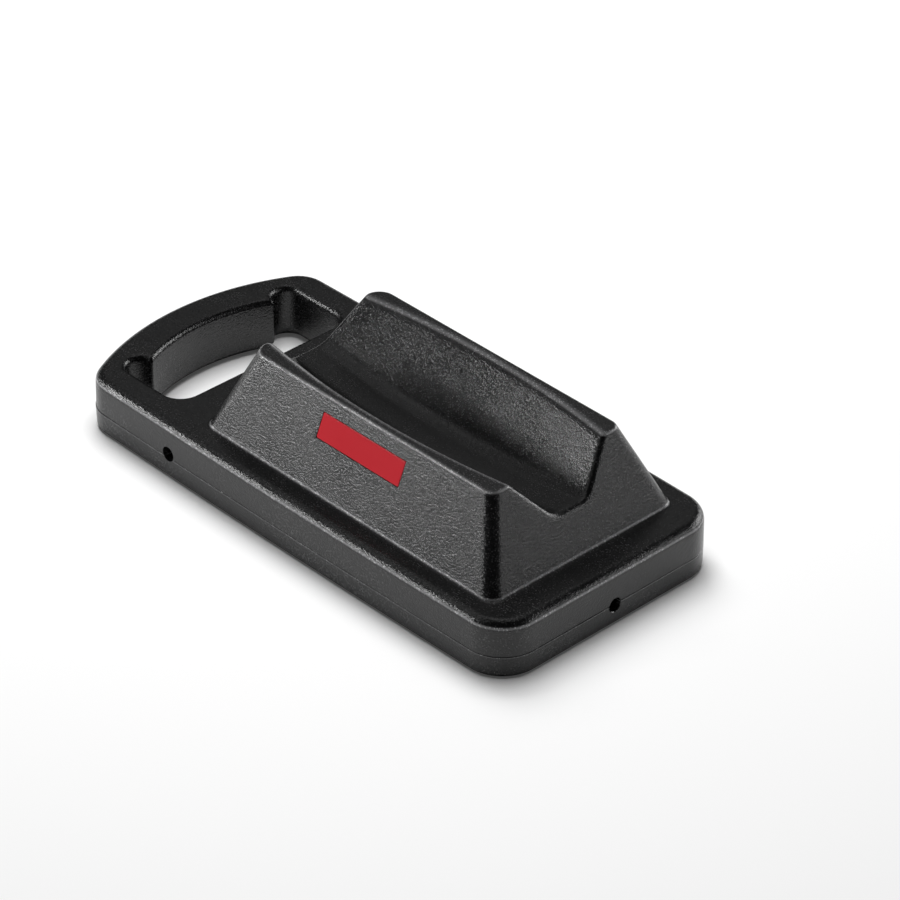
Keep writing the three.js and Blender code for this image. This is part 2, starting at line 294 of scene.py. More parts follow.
def base_outline(inset=0):
    """The base from above: a round handle end, bowed sides and a straight front, all in tangent arcs."""
    back_x = HANDLE_X + HANDLE_CORNER_RADIUS
    front_x = FRONT_X - FRONT_CORNER_RADIUS
    bow = ((front_x - back_x) ** 2 / 4 + SIDE_BOW**2) / (2 * SIDE_BOW)
    bow_centre = ((front_x + back_x) / 2, bow - SIDE_BOW - BASE_WIDTH / 2)
    end_centre = (HANDLE_X + HANDLE_END_RADIUS, 0)
    end_reach = HANDLE_END_RADIUS - HANDLE_CORNER_RADIUS
    handle_corner = circles_meet(bow_centre, bow - HANDLE_CORNER_RADIUS, end_centre, end_reach)
    drop = math.sqrt((bow - FRONT_CORNER_RADIUS) ** 2 - (front_x - bow_centre[0]) ** 2)
    front_corner = (front_x, bow_centre[1] - drop)
    end_turn = bearing(end_centre, handle_corner)
    back_turn = bearing(bow_centre, handle_corner)
    front_turn = bearing(bow_centre, front_corner)
    front = FRONT_X - inset
    half = joined(
        arc(end_centre, HANDLE_END_RADIUS - inset, 180, end_turn, 44),
        arc(handle_corner, HANDLE_CORNER_RADIUS - inset, end_turn, back_turn, 24),
        arc(bow_centre, bow - inset, back_turn, front_turn, 120),
        arc(front_corner, FRONT_CORNER_RADIUS - inset, front_turn, 360, 28),
        run((front, front_corner[1]), (front, 0), 36),
        [(front, 0)],
    )
    return mirrored(half)


def inset_base(inset):
    """The base's outline, moved inwards at each of its points."""
    outline = base_outline()
    way = np.roll(outline, -1, 0) - np.roll(outline, 1, 0)
    way /= np.hypot(way[:, 0], way[:, 1])[:, None]
    normals = np.column_stack((way[:, 1], -way[:, 0]))
    return outline - normals * np.asarray(inset)[..., None]


def softened(points, corner, reach):
    """A run of points with the corner at one of them rounded, over a reach either side."""
    before, kink, after = points[corner - reach], points[corner], points[corner + reach]
    share = np.linspace(0, 1, 2 * reach + 1)[:, None]
    bend = lerp(lerp(before, kink, share), lerp(kink, after, share), share)
    return joined(points[: corner - reach], bend, points[corner + reach + 1 :])


def opening_outline(grow=0):
    """The hand opening, grown by a margin: the grip's edge, two round pockets and a straight edge."""
    grip_centre = (HANDLE_X + GRIP_WIDTH + GRIP_ARC_RADIUS, 0)
    pocket = (HANDLE_X + POCKET_FROM_END, POCKET_RADIUS - OPENING_HALF_WIDTH)
    corner = (HANDLE_X + OPENING_FRONT - OPENING_CORNER_RADIUS, OPENING_CORNER_RADIUS - OPENING_HALF_WIDTH)
    kink = circles_meet(grip_centre, GRIP_ARC_RADIUS + grow, pocket, POCKET_RADIUS + grow)
    side = -OPENING_HALF_WIDTH - grow
    front = HANDLE_X + OPENING_FRONT + grow
    grip_steps = 96
    half = joined(
        arc(grip_centre, GRIP_ARC_RADIUS + grow, 180, bearing(grip_centre, kink), grip_steps),
        arc(pocket, POCKET_RADIUS + grow, bearing(pocket, kink), 270, 32),
        run((pocket[0], side), (corner[0], side), 12),
        arc(corner, OPENING_CORNER_RADIUS + grow, 270, 360, 16),
        run((front, corner[1]), (front, 0), 24),
        [(front, 0)],
    )
    return mirrored(softened(half, grip_steps, 3))


def quarter(count):
    """Shares of a rounded edge, from its start to its end: how far up, and how far in."""
    turns = np.linspace(0, math.pi / 2, count + 1)
    return [(math.sin(turn), 1 - math.cos(turn)) for turn in turns]


def rounded(shape, start, end, height, rise, count):
    """Rings of a rounded edge: a shape that is inset from start to end while it rises from a height."""
    return [(shape(lerp(start, end, inward)), height + rise * up) for up, inward in quarter(count)]


def recess_edges(middle, size):
    """Where the label's recess starts and ends one way, at its rim and at its floor."""
    reach = size / 2 + RECESS_MARGIN
    return (middle - reach, middle - reach + RECESS_WALL, middle + reach - RECESS_WALL, middle + reach)


RECESS_X = recess_edges(LABEL_X, LABEL_WIDTH)
RECESS_UP = recess_edges(LABEL_UP_SLOPE, LABEL_HEIGHT)


# Saddle and trough


def round_max(one, other, radius, alike):
    """The inside of two faces, by their distances, with a round edge. alike is their normals' product."""
    one, other = one + radius, other + radius
    edge = np.sqrt(np.maximum(one**2 + other**2 - 2 * alike * one * other, 0) / (1 - alike**2))
    at_edge = (one > alike * other) & (other > alike * one)
    return np.where(at_edge, edge, np.maximum(one, other)) - radius


def soft_max(one, other, blend):
    """The inside of both, blended where their distances are nearer than that."""
    share = np.maximum(blend - np.abs(one - other), 0) / blend
    return np.maximum(one, other) + share**2 * blend / 4


def saddle_plan(height):
    """Back, front and side of the saddle at a height, and its back and front corner radii."""
    share = (height - BASE_HEIGHT) / SADDLE_RISE
    sizes = (lerp(foot, top, share) for foot, top in zip(FOOT_PLAN, TOP_PLAN))
    back_radius = lerp(FOOT_CORNER_RADIUS, TOP_BACK_CORNER_RADIUS, share)
    front_radius = lerp(FOOT_CORNER_RADIUS, TOP_FRONT_CORNER_RADIUS, share)
    return (*sizes, back_radius, front_radius)


def outside_trough(x, y, z):
    """Distance outside the trough's space."""
    y = np.abs(y)
    out = y - GROOVE_FLOOR_HALF_WIDTH
    down = np.hypot(x - TROUGH_X, z - GROOVE_FLOOR_HEIGHT - GROOVE_ARC_RADIUS)
    down = down - GROOVE_ARC_RADIUS + GROOVE_ROOT_RADIUS
    flank = out * math.sin(GROOVE_FLANK_ANGLE) + down * math.cos(GROOVE_FLANK_ANGLE)
    beyond = np.arctan2(out, down) > GROOVE_FLANK_ANGLE
    groove = np.where(out < 0, down, np.where(beyond, flank, np.hypot(out, down)))
    deep = np.hypot(x - TROUGH_X, z - SADDLE_HEIGHT - FLANK_ARC_RADIUS) - FLANK_ARC_RADIUS
    flanks = (y - FLANK_HALF_WIDTH) * math.sin(FLANK_ANGLE) + deep * math.cos(FLANK_ANGLE)
    return soft_max(groove - GROOVE_ROOT_RADIUS, flanks, GROOVE_TO_FLANK_BLEND)


def outside_block(x, y, z):
    """Distance outside the base plate's top and the saddle, as far as they are seen from above."""
    back, front, side, back_radius, front_radius = saddle_plan(z)
    middle = (front + back) / 2
    radius = np.where(x > middle, front_radius, back_radius)
    along = np.abs(x - middle) - (front - back) / 2 + radius
    across = np.abs(y) - side + radius
    flat = np.minimum(np.maximum(along, across), 0)
    flat = flat + np.hypot(np.maximum(along, 0), np.maximum(across, 0)) - radius
    body = round_max(flat / SADDLE_SLANT, z - SADDLE_HEIGHT, SADDLE_EDGE_RADIUS, math.sin(LEAN))
    body = soft_max(body, -outside_trough(x, y, z), TROUGH_EDGE_BLEND)
    return -soft_max(-body, BASE_HEIGHT - z, SADDLE_FOOT_BLEND)


def surface_height(x, y, depth=0):
    """Height of the top surface over places, or of the one that lies that deep below it."""
    low = np.full(np.shape(x), BASE_HEIGHT - 2 * WALL, float)
    high = np.full(np.shape(x), SADDLE_HEIGHT + WALL, float)
    for _ in range(32):
        middle = (low + high) / 2
        inside = outside_block(x, y, middle) < -depth
        low = np.where(inside, middle, low)
        high = np.where(inside, high, middle)
    return (low + high) / 2


def stations(start, end, fixed, counts):
    """Places from start to end by way of the fixed ones, without the last one."""
    stops = [start, *fixed, end]
    return np.concatenate([np.linspace(*part, endpoint=False) for part in zip(stops, stops[1:], counts)])


def saddle_ring(height, counts, across, corner):
    """The saddle's outline at a height, from its near back corner, and its sides' counts."""
    back, front, side, back_radius, front_radius = saddle_plan(height)

    def end(x, inner_x, reach, radius, turn):
        """The front or back end, with half of each of its corners."""
        return joined(
            arc((inner_x, -reach), radius, turn, turn + 45, corner),
            run((x, -reach), (x, reach), across),
            arc((inner_x, reach), radius, turn + 45, turn + 90, corner),
        )

    near_back = (back + back_radius, back_radius - side)
    near_front = (front - front_radius, front_radius - side)
    along = stations(near_back[0], near_front[0], RECESS_X, counts)
    near = joined(
        arc(near_back, back_radius, 225, 270, corner),
        np.column_stack((along, np.full(len(along), -side))),
        arc(near_front, front_radius, 270, 315, corner),
    )
    ahead = end(front, near_front[0], -near_front[1], front_radius, 315)
    behind = end(back, near_back[0], near_back[1], back_radius, 135)
    far = (joined(near, ahead[:1]) * (1, -1))[:0:-1]
    return joined(near, ahead, far, behind), len(near), len(ahead)


def sides(ring, along, across):
    """The near, front, far and back side of a ring of places or numbers, each towards +X or +Y."""
    ring = np.concatenate((ring, ring[:1]))
    front = along + across
    return (
        ring[: along + 1],
        ring[along : front + 1],
        ring[front : front + along + 1][::-1],
        ring[front + along :][::-1],
    )


def filled(ring, along, across):
    """Places inside a ring of four sides, as a grid that ends at the ring."""
    near, ahead, far, behind = sides(ring, along, across)
    u = (near[:, 0] - near[0, 0]) / (near[-1, 0] - near[0, 0])
    v = (ahead[:, 1] - ahead[0, 1]) / (ahead[-1, 1] - ahead[0, 1])
    u, v = u[:, None, None], v[None, :, None]
    edges = lerp(near[:, None], far[:, None], v) + lerp(behind[None], ahead[None], u)
    corners = lerp(lerp(near[0], near[-1], u), lerp(far[0], far[-1], u), v)
    return edges - corners


# Meshes


class Skin:
    """Vertices, edges, faces and flat areas of a mesh in the making, in millimetres."""

    def __init__(self):
        self.places, self.edges, self.faces, self.flats = [], [], [], []

    def ring(self, outline, height):
        """Adds a ring of vertices and returns their numbers."""
        heights = np.broadcast_to(np.asarray(height, float), len(outline))
        first = sum(map(len, self.places))
        self.places.append(np.column_stack((outline, heights)))
        return np.arange(first, first + len(outline))

    def bridge(self, one, other):
        """Joins two rings of as many vertices by faces."""
        faces = np.column_stack((one, np.roll(one, -1), np.roll(other, -1), other))
        self.faces.extend(faces.tolist())

    def stack(self, rings):
        """Adds rings, joins each to the next, and returns the first and the last."""
        numbers = [self.ring(outline, height) for outline, height in rings]
        for one, other in zip(numbers, numbers[1:]):
            self.bridge(one, other)
        return numbers[0], numbers[-1]

    def grid(self, numbers):
        """Joins a grid of vertices by faces."""
        faces = np.stack((numbers[:-1, :-1], numbers[1:, :-1], numbers[1:, 1:], numbers[:-1, 1:]), -1)
        self.faces.extend(faces.reshape(-1, 4).tolist())

    def cap(self, first, last):
        """Closes a stack of rings at both ends."""
        self.faces += [first.tolist()[::-1], last.tolist()]

    def flat(self, *rings):
        """A flat area between rings, the outermost of them included."""
        self.flats.append(rings)

    def mesh(self, name):
        mesh = bpy.data.meshes.new(name)
        mesh.from_pydata((joined(*self.places) * MM).tolist(), self.edges, self.faces)
        return closed(mesh, self.flats)


def closed(mesh, flats=()):
    """Fills the flat areas of a mesh and turns its faces outwards."""
    shape = bmesh.new()
    shape.from_mesh(mesh)
    shape.verts.ensure_lookup_table()
    for rings in flats:
        edges = []
        for ring in rings:
            for a, b in zip(ring.tolist(), np.roll(ring, -1).tolist()):
                ends = shape.verts[a], shape.verts[b]
                edges.append(shape.edges.get(ends) or shape.edges.new(ends))
        bmesh.ops.triangle_fill(shape, edges=edges, use_beauty=True, normal=(0, 0, 1))
    bmesh.ops.recalc_face_normals(shape, faces=shape.faces)
    shape.to_mesh(mesh)
    shape.free()
    return mesh


def moved(place):
    """A move by millimetres."""
    return Matrix.Translation([edge * MM for edge in place])


def turned(way):
    """A turn of +Z to a way."""
    return Vector(way).to_track_quat("Z", "Y").to_matrix().to_4x4()


def shown(name, data):
    """A new object in the scene."""
    thing = bpy.data.objects.new(name, data)
    bpy.context.scene.collection.objects.link(thing)
    return thing


def settled(thing):
    """Turns an object and its modifiers into a plain mesh."""
    bpy.context.view_layer.update()
    graph = bpy.context.evaluated_depsgraph_get()
    mesh = bpy.data.meshes.new_from_object(
        thing.evaluated_get(graph), preserve_all_data_layers=True, depsgraph=graph
    )
    if not mesh.polygons:
        raise RuntimeError(f"{thing.name} came out without faces")
    thing.modifiers.clear()
    thing.data = mesh
    mesh.name = thing.name
    return thing


def finished(thing, material, node):
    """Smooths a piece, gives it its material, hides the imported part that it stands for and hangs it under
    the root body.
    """
    mesh = thing.data
    mesh.materials.clear()
    mesh.materials.append(material)
    for face in mesh.polygons:
        face.use_smooth = True
    mesh.set_sharp_from_angle(angle=SHARP_EDGE)
    weighted = thing.modifiers.new("Weighted normals", "WEIGHTED_NORMAL")
    weighted.keep_sharp = True
    weighted.weight = 90
    settled(thing)
    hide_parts(node)
    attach(thing, "root")
    return thing


def drilled(thing):
    """Cuts the two round holes at the parting line through a shell."""
    turns = arc((0, 0), 1, 0, 360, 48)
    cutters = []
    for place, way, (narrow, wide) in HOLES:
        skin = Skin()
        inner = -WALL - LIP_INSET - LIP_THICKNESS
        depths = ((0, inner), (0, narrow), (HOLE_CHAMFER, wide), (HOLE_CHAMFER, WALL))
        skin.cap(*skin.stack([(turns * (HOLE_RADIUS + wider), depth) for wider, depth in depths]))
        mesh = skin.mesh("hole cutter")
        mesh.transform(moved(place) @ turned(way))
        cut = thing.modifiers.new("Hole", "BOOLEAN")
        cut.object = shown("hole cutter", mesh)
        cut.operation = "DIFFERENCE"
        cut.solver = "EXACT"
        cutters.append(cut.object)
    settled(thing)
    for cutter in cutters:
        bpy.data.objects.remove(cutter)
    return thing


# Pieces


def fading(outline, x, y, width):
    """1 at a place and less further from it, at each point of an outline."""
    return np.exp(-((outline[:, 0] - x) ** 2 + (outline[:, 1] - y) ** 2) / width**2)


def seam_cut(depth):
    """How deep the parting line is cut at each point of the base's outline, unevenly."""
    outline = base_outline()
    x, y = outline.T
    share = SEAM_PLAIN + SEAM_WAVE * (np.sin(x / 9 + 1) + np.sin((x + y) / 3.7))
    for *place, extra in SEAM_DEEPER:
        share += extra * fading(outline, *place)
    return depth * share


def saddle_skin(skin, depth, heights, counts, across, corner):
    """Adds the saddle's surface, at a depth below the outer one, and returns its outermost ring."""
    lift = depth * SADDLE_SLANT * SADDLE_RISE / (FOOT_PLAN[2] - TOP_PLAN[2])
    inward = np.array((0, math.cos(LEAN), -math.sin(LEAN)))
    slack = RECESS_WALL / 2
    rings = []
    for height in heights:
        outline, along, ahead = saddle_ring(height + lift, counts, across, corner)
        x, y = outline.T
        z = surface_height(x, y, depth) if rings else np.full(len(x), BASE_HEIGHT - depth)
        rings.append(skin.ring(outline, z))
        up = (height - BASE_HEIGHT) / math.cos(LEAN)
        if depth == 0 and RECESS_UP[0] + slack < up < RECESS_UP[3] - slack:
            sunk = (x > RECESS_X[0] + slack) & (x < RECESS_X[3] - slack) & (np.arange(len(x)) < along)
            skin.places[-1][sunk] += inward * RECESS_DEPTH
        if len(rings) > 1:
            skin.bridge(*rings[-2:])
    grid = filled(outline, along, ahead)
    inner = grid[1:-1, 1:-1].reshape(-1, 2)
    added = skin.ring(inner, surface_height(*inner.T, depth))
    numbers = np.empty(grid.shape[:2], int)
    numbers[1:-1, 1:-1] = added.reshape(numbers[1:-1, 1:-1].shape)
    numbers[:, 0], numbers[-1], numbers[:, -1], numbers[0] = sides(rings[-1], along, ahead)
    skin.grid(numbers)
    return rings[0]


def upper_shell(material, sizes):
    """The base plate's upper half with the saddle, its trough and the upper half of the hand opening."""
    skin = Skin()
    cut = seam_cut(sizes.seam_depth / MM)
    start = PARTING_HEIGHT + SEAM_PLAY
    edge = BASE_HEIGHT - TOP_EDGE_RADIUS
    rings = [(inset_base(cut * inwards), start + cut * up) for inwards, up in SEAM_FLANK]
    for height in np.linspace(start + 1, edge, 8, endpoint=False):
        share = (height - start) / (edge - start)
        rings.append((inset_base(WALL_DRAFT * share), height))
    rings += rounded(inset_base, WALL_DRAFT, TOP_EDGE_RADIUS, edge, TOP_EDGE_RADIUS, count=14)
    wall_foot, plate_edge = skin.stack(rings)

    mouth_top = BASE_HEIGHT - OPENING_TOP_RADIUS
    heights = (start, start + 0.5, *np.linspace(start + 1.5, mouth_top, 5, endpoint=False))
    rings = [(opening_outline(), height) for height in heights]
    rings += rounded(opening_outline, 0, OPENING_TOP_RADIUS, mouth_top, OPENING_TOP_RADIUS, count=10)
    mouth_foot, mouth_edge = skin.stack(rings)

    low, low_in, high_in, high = (BASE_HEIGHT + up * math.cos(LEAN) for up in RECESS_UP)
    heights = (
        *(BASE_HEIGHT + rise for rise in FOOT_RINGS),
        *np.arange(BASE_HEIGHT + 3.4, low - 0.3, RING_STEP),
        low,
        low_in,
        *np.arange(low_in + 0.8, high_in - 0.4, RING_STEP),
        high_in,
        high,
        *np.arange(high + 0.4, SADDLE_HEIGHT + 4, TOP_RING_STEP),
    )
    foot = saddle_skin(skin, 0, heights, counts=(40, 1, 52, 1, 40), across=84, corner=8)
    skin.flat(plate_edge, mouth_edge, foot)

    rings = [(inset_base(WALL), start)]
    rings += rounded(inset_base, WALL, TOP_EDGE_RADIUS, edge, TOP_EDGE_RADIUS - WALL, count=4)
    inner_foot, inner_edge = skin.stack(rings)
    tunnel = opening_outline(WALL)
    tunnel_foot, tunnel_edge = skin.stack(((tunnel, start), (tunnel, BASE_HEIGHT - WALL)))
    heights = (
        *(BASE_HEIGHT + rise for rise in INNER_FOOT_RINGS),
        *np.arange(BASE_HEIGHT, SADDLE_HEIGHT - WALL, 2 * RING_STEP),
        *np.arange(SADDLE_HEIGHT - WALL, SADDLE_HEIGHT + 2, RING_STEP),
    )
    foot = saddle_skin(skin, WALL, heights, counts=(16, 1, 20, 1, 16), across=30, corner=3)
    skin.flat(inner_edge, tunnel_edge, foot)
    skin.bridge(wall_foot, inner_foot)
    skin.bridge(mouth_foot, tunnel_foot)
    name = "upper_shell_moulding"
    return finished(drilled(shown(name, skin.mesh(name))), material, "upper_shell")


def lower_shell(material, sizes):
    """The flat underside, the rounded lower edge and the lower half of the hand opening."""
    skin = Skin()
    cut = seam_cut(sizes.seam_depth / MM)
    proud = sizes.handle_step / MM * fading(base_outline(), *PROUD_CORNER)
    start = PARTING_HEIGHT - SEAM_PLAY
    bevel = sizes.seam_bevel / MM
    edge = BOTTOM_EDGE_RADIUS
    below = start - cut * SEAM_DROP
    rings = [
        (inset_base(cut + bevel), start),
        (inset_base(bevel - proud * SEAM_PROUD), below),
        (inset_base(-proud), below - bevel),
    ]
    for height in np.linspace(start - 1.2, edge, 4, endpoint=False):
        rings.append((inset_base(-proud * (height - edge) / (start - edge)), height))
    rings += rounded(inset_base, 0, edge, edge, -edge, count=10)
    wall_top, plate_edge = skin.stack(rings)

    edge = OPENING_BOTTOM_RADIUS
    rings = [(opening_outline(), start - drop) for drop in (0, 0.5, 1.5)]
    rings += rounded(opening_outline, 0, edge, edge, -edge, count=10)
    mouth_top, mouth_edge = skin.stack(rings)

    inner, tunnel = inset_base(WALL), opening_outline(OPENING_WALL)
    inner_top, inner_floor = skin.stack(((inner, start), (inner, WALL)))
    tunnel_top, tunnel_floor = skin.stack(((tunnel, start), (tunnel, WALL)))
    wells = []
    radius = POST_FOOT_RADIUS - WALL
    for index in range(POST_COUNT):
        middle = (TROUGH_X + (index - (POST_COUNT - 1) / 2) * POST_SPACING, 0)
        rings = [
            (arc(middle, radius + WELL_MOUTH_RADIUS * (1 - up), 0, 360, 48), WELL_MOUTH_RADIUS * inward)
            for up, inward in quarter(5)
        ]
        rings.append((arc(middle, radius - POST_TAPER * WALL, 0, 360, 48), WALL))
        wells.append(skin.stack(rings))
    mouths, floors = zip(*wells)
    skin.flat(plate_edge, mouth_edge, *mouths)
    skin.flat(inner_floor, tunnel_floor, *floors)
    skin.bridge(wall_top, inner_top)
    skin.bridge(mouth_top, tunnel_top)
    name = "lower_shell_moulding"
    return finished(drilled(shown(name, skin.mesh(name))), material, "lower_shell")


def empty_tree(kind, name, inputs, outputs):
    """An empty tree: inputs by name, each with its kind or its default, and outputs by name."""
    tree = bpy.data.node_groups.new(name, kind)
    for label, given in inputs.items():
        kind = given if isinstance(given, str) else "Int" if isinstance(given, int) else "Float"
        socket = tree.interface.new_socket(label, in_out="INPUT", socket_type=f"NodeSocket{kind}")
        if kind != given:
            socket.default_value = given
    for label, kind in outputs.items():
        tree.interface.new_socket(label, in_out="OUTPUT", socket_type=f"NodeSocket{kind}")
    return tree, tree.nodes.new("NodeGroupInput").outputs, tree.nodes.new("NodeGroupOutput")


def geometry_tree(name, lengths, **counts):
    """An empty Geometry Nodes tree: named lengths and counts, with defaults in millimetres."""
    lengths = {label: size * MM for label, size in lengths.items()}
    inputs = {"Geometry": "Geometry", **counts, **lengths, "Material": "Material"}
    return empty_tree("GeometryNodeTree", name, inputs, {"Geometry": "Geometry"})


def ended(tree, geometry, given, out):
    """Ends a tree: real instances, in the material that it is given."""
    real = node(tree, "GeometryNodeRealizeInstances", Geometry=geometry)[0]
    dressed = node(tree, "GeometryNodeSetMaterial", Geometry=real, Material=given["Material"])[0]
    give(out, Geometry=dressed)
    return tree


def grown(name, mesh, tree, values):
    """An object that a tree makes from a mesh and named values, as a plain mesh."""
    thing = shown(name, mesh)
    modifier = thing.modifiers.new(tree.name, "NODES")
    modifier.node_group = tree
    for item in tree.interface.items_tree:
        if item.in_out == "INPUT" and item.name in values:
            modifier[item.identifier] = values[item.name]
    return settled(thing)


def posts_tree():
    """Hollow tapered posts in a row, each as tall as the groove's arc allows over its rim."""
    lengths = {
        "Spacing": POST_SPACING,
        "Middle": TROUGH_X,
        "Floor": WALL,
        "Height": POST_HEIGHT,
        "Foot radius": POST_FOOT_RADIUS,
        "Top radius": POST_TOP_RADIUS,
        "Wall": WALL,
        "Arc radius": GROOVE_ARC_RADIUS,
    }
    tree, given, out = geometry_tree("Carrying posts", lengths, Count=POST_COUNT)
    spacing, middle, floor, height, foot_radius, top_radius, wall, arc_radius = map(given.get, lengths)

    def cone(foot, top, tall):
        sizes = {"Radius_Bottom": foot, "Radius_Top": top, "Depth": tall}
        return node(tree, "GeometryNodeMeshCone", Vertices=64, **sizes)["Mesh"]

    tall = minus(height, floor)
    taper = over(minus(foot_radius, top_radius), height)
    foot = minus(foot_radius, times(taper, floor))
    bore_foot = minus(foot, wall)
    bore_tall = minus(tall, wall)
    bore_top = minus(bore_foot, times(taper, bore_tall))
    body = cone(foot, top_radius, tall)
    bore = cone(times_plus(taper, MM, bore_foot), bore_top, plus(bore_tall, MM))
    bore = node(tree, "GeometryNodeTransform", Geometry=bore, Translation=(0, 0, -MM))[0]
    difference = {"operation": "DIFFERENCE", "solver": "EXACT"}
    post = node(tree, "GeometryNodeMeshBoolean", difference, Mesh_1=body, Mesh_2=bore)[0]

    gaps = minus(given["Count"], 1)
    row_length = times(gaps, spacing)
    first = minus(middle, times(row_length, 0.5))
    start = node(tree, "ShaderNodeCombineXYZ", X=first, Z=floor)[0]
    step = node(tree, "ShaderNodeCombineXYZ", X=spacing)[0]
    row = node(tree, "GeometryNodeMeshLine", Count=given["Count"], Start_Location=start, Offset=step)[0]
    place = node(tree, "ShaderNodeSeparateXYZ", Vector=node(tree, "GeometryNodeInputPosition")[0])
    aside = unsigned(minus(place["X"], middle))
    nearest = greater(minus(aside, top_radius), 0)
    across = minus(calc("POWER", arc_radius, 2), calc("POWER", nearest, 2))
    rise = minus(arc_radius, calc("SQRT", across))
    stretch = plus(over(rise, tall), 1)
    scale = node(tree, "ShaderNodeCombineXYZ", X=1.0, Y=1.0, Z=stretch)[0]
    posts = node(tree, "GeometryNodeInstanceOnPoints", Points=row, Instance=post, Scale=scale)[0]
    return ended(tree, posts, given, out)


def carrying_posts(material, sizes):
    """The posts in the lower shell that carry the trough's floor, open at the underside."""
    name = "carrying_posts"
    values = {
        "Count": sizes.post_count,
        "Spacing": sizes.post_spacing,
        "Foot radius": sizes.post_foot_radius,
        "Top radius": sizes.post_top_radius,
        "Material": material,
    }
    thing = grown(name, bpy.data.meshes.new(name), shared("Carrying posts", posts_tree), values)
    return finished(thing, material, "lower_shell")


def lip_tree():
    """A band that follows an outline, in a rectangular section with rounded corners."""
    lengths = {"Thickness": LIP_THICKNESS, "Height": LIP_TOP - WALL, "Edge radius": LIP_EDGE_RADIUS}
    tree, given, out = geometry_tree("Locating lip", lengths)
    path = node(tree, "GeometryNodeMeshToCurve", Mesh=given["Geometry"])[0]
    level = node(tree, "GeometryNodeSetCurveNormal", {"mode": "Z_UP"}, Curve=path)[0]
    size = {"Width": given["Thickness"], "Height": given["Height"]}
    section = node(tree, "GeometryNodeCurvePrimitiveQuadrilateral", **size)[0]
    corners = {"Curve": section, "Count": 4, "Radius": given["Edge radius"]}
    rounded_section = node(tree, "GeometryNodeFilletCurve", {"mode": "POLY"}, **corners)[0]
    band = node(tree, "GeometryNodeCurveToMesh", Curve=level, Profile_Curve=rounded_section)[0]
    return ended(tree, band, given, out)


def locating_lip(material, sizes):
    """The lip that stands just inside the lower shell's wall and locates the upper shell."""
    name = "locating_lip"
    height = sizes.lip_top / MM - WALL
    skin = Skin()
    outline = base_outline(LIP_INSET + sizes.lip_thickness / MM / 2)
    numbers = skin.ring(outline, WALL + height / 2).tolist()
    skin.edges = list(zip(numbers, numbers[1:] + numbers[:1]))
    values = {"Thickness": sizes.lip_thickness, "Height": height * MM, "Material": material}
    thing = grown(name, skin.mesh(name), shared("Locating lip", lip_tree), values)
    closed(thing.data)
    return finished(drilled(thing), material, "lower_shell")


def label_outline(inset):
    half = np.array((LABEL_WIDTH, LABEL_HEIGHT)) / 2 - LABEL_CORNER_RADIUS
    corners = (((-1, -1), 180), ((1, -1), 270), ((1, 1), 0), ((-1, 1), 90))
    radius = LABEL_CORNER_RADIUS - inset
    return joined(*(arc(half * corner, radius, turn, turn + 90, 8) for corner, turn in corners))


def side_label(material):
    """The thin plate in its recess in the near side of the saddle."""
    skin = Skin()
    edge = LABEL_EDGE_RADIUS
    rings = [(label_outline(0), LABEL_GLUE - RECESS_DEPTH)]
    rings += rounded(label_outline, 0, edge, -edge - LABEL_SUNK, edge, count=5)
    skin.cap(*skin.stack(rings))
    mesh = skin.mesh("label_plate")
    across = LABEL_UP_SLOPE * math.sin(LEAN) - FOOT_PLAN[2]
    height = BASE_HEIGHT + LABEL_UP_SLOPE * math.cos(LEAN)
    mesh.transform(moved((LABEL_X, across, height)) @ Matrix.Rotation(math.pi / 2 - LEAN, 4, "X"))
    return finished(shown("label_plate", mesh), material, "side_label")


# Materials


def fill(socket, value):
    """Gives an input its value, or links it to an output."""
    if isinstance(value, bpy.types.NodeSocket):
        socket.id_data.links.new(value, socket)
    else:
        socket.default_value = value


def give(made, **inputs):
    """Fills a node's inputs by name, with _ for a space, and returns its outputs."""
    for key, value in inputs.items():
        fill(made.inputs[key.replace("_", " ")], value)
    return made.outputs


def node(tree, kind, settings=None, **inputs):
    """Adds a node with its settings and its inputs by name, and returns its outputs."""
    made = tree.nodes.new(kind)
    for key, value in (settings or {}).items():
        setattr(made, key, value)
    return give(made, **inputs)


def in_order(tree, kind, *values, **settings):
    """Adds a node with its settings and its inputs in order, and returns its first output."""
    made = tree.nodes.new(kind)
    for key, value in settings.items():
        setattr(made, key, value)
    for socket, value in zip(made.inputs, values):
        fill(socket, value)
    return made.outputs[0]


def calc(operation, *values, clamp=False):
    """A sum of outputs and numbers, in the tree that the outputs are in."""
    tree = next(value.id_data for value in values if isinstance(value, bpy.types.NodeSocket))
    return in_order(tree, "ShaderNodeMath", *values, operation=operation, use_clamp=clamp)


plus = functools.partial(calc, "ADD")
minus = functools.partial(calc, "SUBTRACT")
times = functools.partial(calc, "MULTIPLY")
times_plus = functools.partial(calc, "MULTIPLY_ADD")
over = functools.partial(calc, "DIVIDE")
greater = functools.partial(calc, "MAXIMUM")
unsigned = functools.partial(calc, "ABSOLUTE")


def noise(place, scale, detail, roughness=0.5):
    """A smooth random pattern from 0 to 1."""
    settings = {"Vector": place, "Scale": scale, "Detail": detail, "Roughness": roughness}
    return node(place.id_data, "ShaderNodeTexNoise", **settings)["Fac"]


def ramp(value, start, end, low=0.0, high=1.0):
    """A value between two bounds, eased from low to high."""
    bounds = (value, start, end, low, high)
    return in_order(value.id_data, "ShaderNodeMapRange", *bounds, interpolation_type="SMOOTHSTEP")


def tinted(share, plain, other):
    """A colour between two."""
    mix = share.id_data.nodes.new("ShaderNodeMix")
    mix.data_type = "RGBA"
    for index, value in ((0, share), (6, (*plain, 1)), (7, (*other, 1))):
        fill(mix.inputs[index], value)
    return mix.outputs[2]


def shader_group(name, inputs, *outputs):
    """An empty shader group: a place, other values with their defaults, and named outputs."""
    return empty_tree("ShaderNodeTree", name, {"Place": "Vector", **inputs}, dict.fromkeys(outputs, "Float"))


